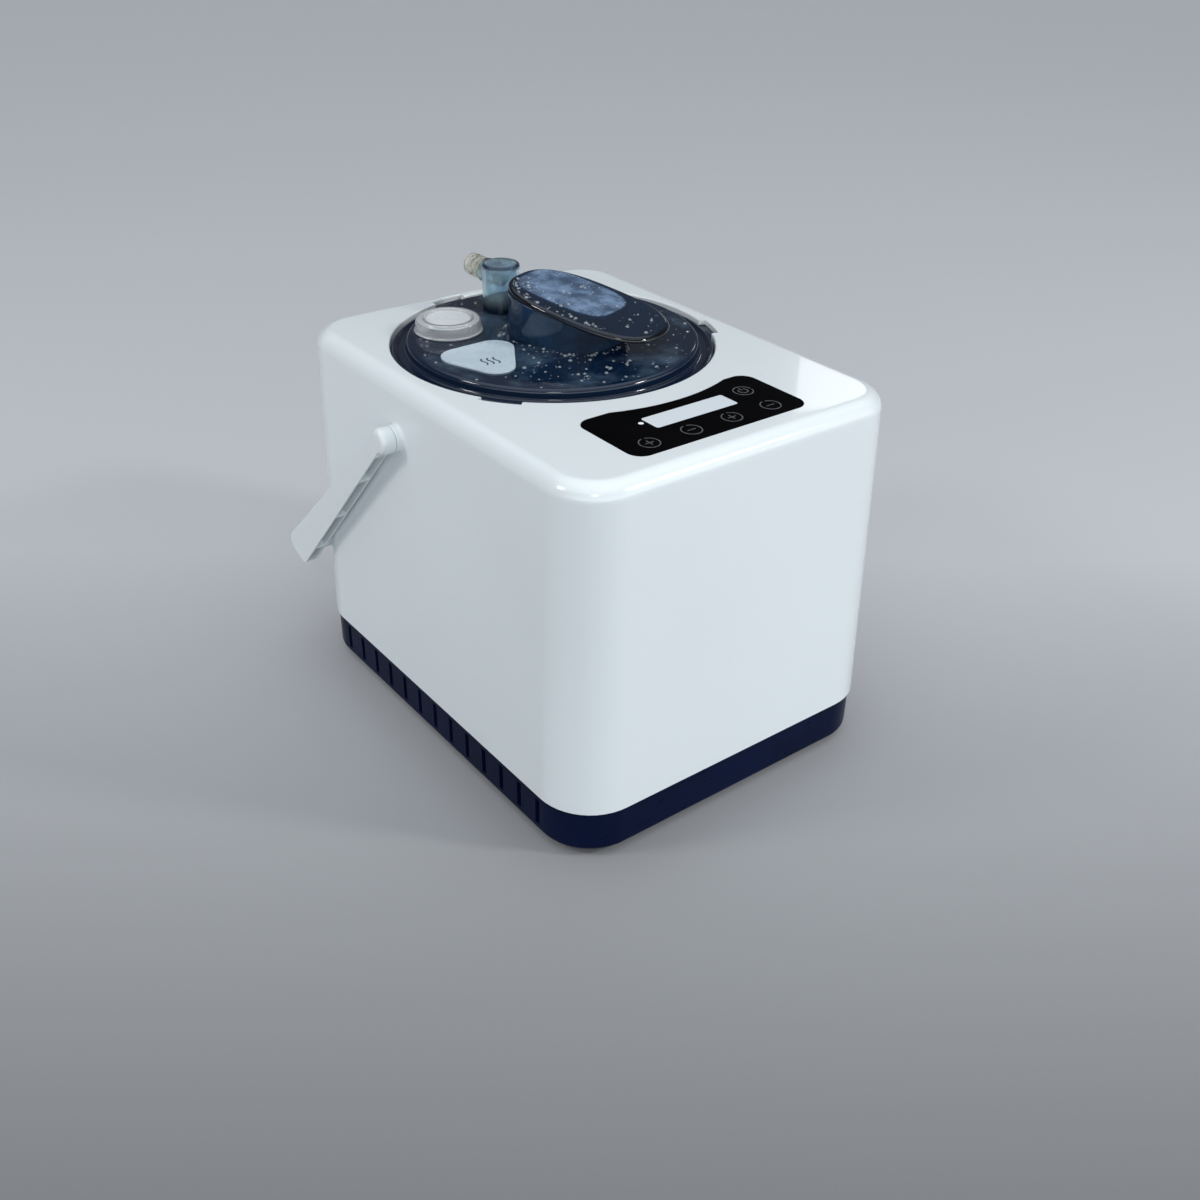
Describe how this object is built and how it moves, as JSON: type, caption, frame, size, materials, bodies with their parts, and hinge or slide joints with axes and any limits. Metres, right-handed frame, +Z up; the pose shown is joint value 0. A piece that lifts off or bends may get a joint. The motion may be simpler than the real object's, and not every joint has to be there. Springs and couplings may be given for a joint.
{
  "type": "portable steam generator",
  "caption": "Free-standing electric boiler with a bayonet lid, swivelling steam outlet, herb box, screw fill cap, touch panel and swinging bail handle.",
  "frame": {"origin": "middle of the resting outline, on the surface the feet stand on", "axes": "+Z up, -Y towards the touch panel's front face, +Y along the steam outlet, +X to the right seen from the front"},
  "size_m": [0.2304, 0.2918, 0.2416],
  "materials": {
    "white_shell": "high gloss, pale bluish white",
    "navy_base": "semi-gloss navy",
    "foot_rubber": "matt",
    "fastener_steel": "zinc plated",
    "pot_steel": "brushed",
    "silicone": "translucent grey",
    "red_silicone": "matt",
    "insulation": "glass fibre felt",
    "element_steel": "annealed",
    "brass": "turned",
    "black_plastic": "fine texture",
    "board_green": "solder mask",
    "relay_blue": "moulded",
    "transformer_tape": "taped winding",
    "terminal_green": "moulded",
    "heat_sink_aluminium": "extruded",
    "spring_steel": "bright",
    "panel_black": "high gloss black",
    "display_glass": "pale unlit display",
    "lens_white": "translucent white",
    "wire_red": "silicone wire",
    "wire_earth": "silicone wire",
    "lid_blue": "translucent navy, glossy",
    "cover_blue": "translucent navy, glossy",
    "outlet_blue": "translucent blue, glossy",
    "clear_plastic": "clear",
    "barb_clear": "clear, slightly yellow",
    "label_white": "printed plate"
  },
  "bodies": {
    "root": {"outer_housing": "white_shell", "pot_ring": "white_shell", "base_tray": "navy_base", "rubber_feet": "foot_rubber", "base_screws": "fastener_steel", "steam_pot": "pot_steel", "pot_seal": "silicone", "insulation_sleeve": "insulation", "heating_element": "element_steel", "element_seals": "red_silicone", "element_nuts": "brass", "thermal_cutout": "black_plastic", "temperature_probe": "brass", "level_probe": "pot_steel", "power_board": "board_green", "power_relay": "relay_blue", "transformer": "transformer_tape", "terminal_block": "terminal_green", "heat_sink": "heat_sink_aluminium", "power_board_screws": "fastener_steel", "control_board": "board_green", "control_board_screws": "fastener_steel", "display_module": "black_plastic", "touch_springs": "spring_steel", "buzzer": "black_plastic", "control_panel": "panel_black", "display_window": "display_glass", "indicator_lens": "lens_white", "cord_gland": "black_plastic", "gland_nut": "black_plastic", "wiring_harness": "wire_red", "earth_lead": "wire_earth"},
    "handle": {"handle": "white_shell", "handle_washers": "fastener_steel", "handle_screws": "fastener_steel"},
    "lid_seal": {"lid_gasket": "silicone"},
    "lid": {"lid": "lid_blue", "herb_box": "cover_blue", "herb_strainer": "pot_steel", "label_plate": "label_white"},
    "herb_cover": {"herb_cover": "cover_blue"},
    "outlet": {"steam_outlet": "outlet_blue", "outlet_nozzle": "barb_clear", "outlet_oring": "foot_rubber", "outlet_clip": "spring_steel"},
    "cap_seal": {"fill_cap_gasket": "silicone"},
    "cap": {"fill_cap": "clear_plastic"}
  },
  "joints": [
    {"name": "handle_swing", "type": "hinge", "parent": "root", "child": "handle", "pos_m": [0, 0.01965, 0.18], "axis": [1, 0, 0], "range_deg": [0, 209]},
    {"name": "lid_lift", "type": "slide", "parent": "root", "child": "lid_seal", "axis": [0, 0, 1], "range_m": [0, 0.05]},
    {"name": "lid_turn", "type": "hinge", "parent": "lid_seal", "child": "lid", "pos_m": [0, 0.02365, 0.211], "axis": [0, 0, 1], "range_deg": [0, 10]},
    {"name": "herb_cover_lift", "type": "slide", "parent": "lid", "child": "herb_cover", "axis": [0, 0, 1], "range_m": [0, 0.03]},
    {"name": "outlet_swivel", "type": "hinge", "parent": "lid", "child": "outlet", "pos_m": [0, 0.07465, 0.2325], "axis": [0, 0, 1], "range_deg": [-90, 75]},
    {"name": "cap_rise", "type": "slide", "parent": "lid", "child": "cap_seal", "axis": [0, 0, 1], "range_m": [0, 0.0053]},
    {"name": "cap_turn", "type": "hinge", "parent": "cap_seal", "child": "cap", "pos_m": [-0.044, 0.06135, 0.2176], "axis": [0, 0, 1], "range_deg": [0, 630]}
  ],
  "couplings": [
    {"joint": "cap_rise", "follows": "cap_turn", "m_per_rad": 0.00047746}
  ]
}
